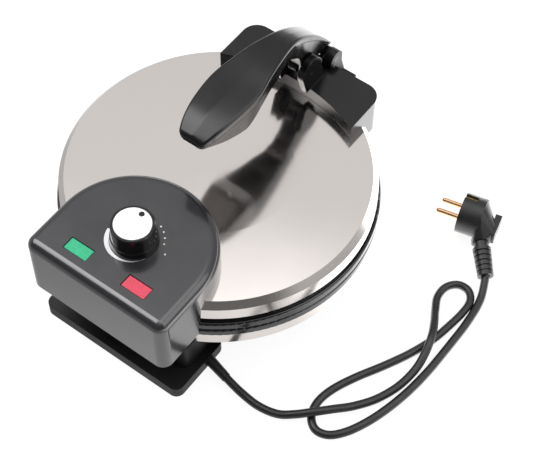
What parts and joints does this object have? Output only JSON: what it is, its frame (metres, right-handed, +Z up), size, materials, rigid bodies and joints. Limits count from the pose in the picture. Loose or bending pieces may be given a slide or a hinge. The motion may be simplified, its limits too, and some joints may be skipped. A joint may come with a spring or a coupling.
{
  "type": "electric roti maker",
  "caption": "Electric flatbread maker: round heated plates in a hinged steel lid and base, with a press lever, control housing, knob, lamps and mains lead.",
  "frame": {"origin": "on the table, under the middle of the round plates", "axes": "+Z up, -Y towards the user (the controls), +X to the user's right, +Y towards the hinge"},
  "size_m": [0.3729, 0.33, 0.1912],
  "materials": {
    "gloss_black_plastic": "glossy black moulding",
    "satin_black_plastic": "satin black moulding",
    "satin_grey_plastic": "satin dark grey moulding",
    "brushed_steel": "fine brushed sheet",
    "coated_aluminium": "grey non-stick coating on cast aluminium",
    "heater_steel": "oxidised heater sheath",
    "tray_aluminium": "mill finish sheet",
    "mineral_felt": "pressed mineral wool",
    "feet_rubber": "matte rubber",
    "zinc_screws": "zinc plated",
    "steel_pins": "turned steel",
    "green_lens": "translucent green",
    "red_lens": "translucent red",
    "lamp_white": "white",
    "thermostat_body": "pale ceramic",
    "spindle_brass": "turned brass",
    "silver_cap": "satin silver",
    "silver_print": "silver ink",
    "lead_rubber": "matte black flexible plastic",
    "pin_brass": "nickel-worn brass"
  },
  "bodies": {
    "base": {"front_sole": "satin_black_plastic", "rear_stand": "satin_black_plastic", "rubber_feet": "feet_rubber", "bottom_housing": "satin_black_plastic", "base_pan": "brushed_steel", "base_ring": "gloss_black_plastic", "lower_plate": "coated_aluminium", "lower_element": "heater_steel", "lower_reflector": "tray_aluminium", "lower_insulation": "mineral_felt", "terminal_block": "lamp_white", "base_screws": "zinc_screws", "hinge_pin": "steel_pins", "cord_gland": "lead_rubber", "cord_clamp": "lead_rubber", "power_cord": "lead_rubber", "plug_body": "lead_rubber", "plug_pins": "pin_brass", "plug_earth_clips": "spindle_brass"},
    "lid": {"lid_ring": "gloss_black_plastic", "lid_shell": "brushed_steel", "upper_plate": "coated_aluminium", "upper_element": "heater_steel", "upper_reflector": "tray_aluminium", "upper_insulation": "mineral_felt", "control_housing": "satin_grey_plastic", "control_cover": "satin_black_plastic", "green_lens": "green_lens", "red_lens": "red_lens", "lamp_bodies": "lamp_white", "thermostat": "thermostat_body", "control_screws": "zinc_screws", "hinge_bracket": "gloss_black_plastic", "bracket_screws": "zinc_screws", "lever_pin": "steel_pins", "dial_marks": "silver_print"},
    "lever": {"lever_top_shell": "gloss_black_plastic", "lever_bottom_shell": "gloss_black_plastic", "lever_core": "steel_pins", "lever_screws": "zinc_screws"},
    "knob": {"knob_body": "satin_black_plastic", "knob_cap": "silver_cap", "knob_pointer": "satin_black_plastic", "knob_spindle": "spindle_brass"}
  },
  "joints": [
    {"name": "lid_hinge", "type": "hinge", "parent": "base", "child": "lid", "pos_m": [0, 0.147, 0.12], "axis": [-1, 0, 0], "range_deg": [0, 95]},
    {"name": "lever_press", "type": "hinge", "parent": "lid", "child": "lever", "pos_m": [0, 0.112, 0.136], "axis": [1, 0, 0], "range_deg": [0, 14]},
    {"name": "knob_turn", "type": "hinge", "parent": "lid", "child": "knob", "pos_m": [0, -0.11, 0.1243], "axis": [0, 0, 1], "range_deg": [-260, 0]}
  ]
}
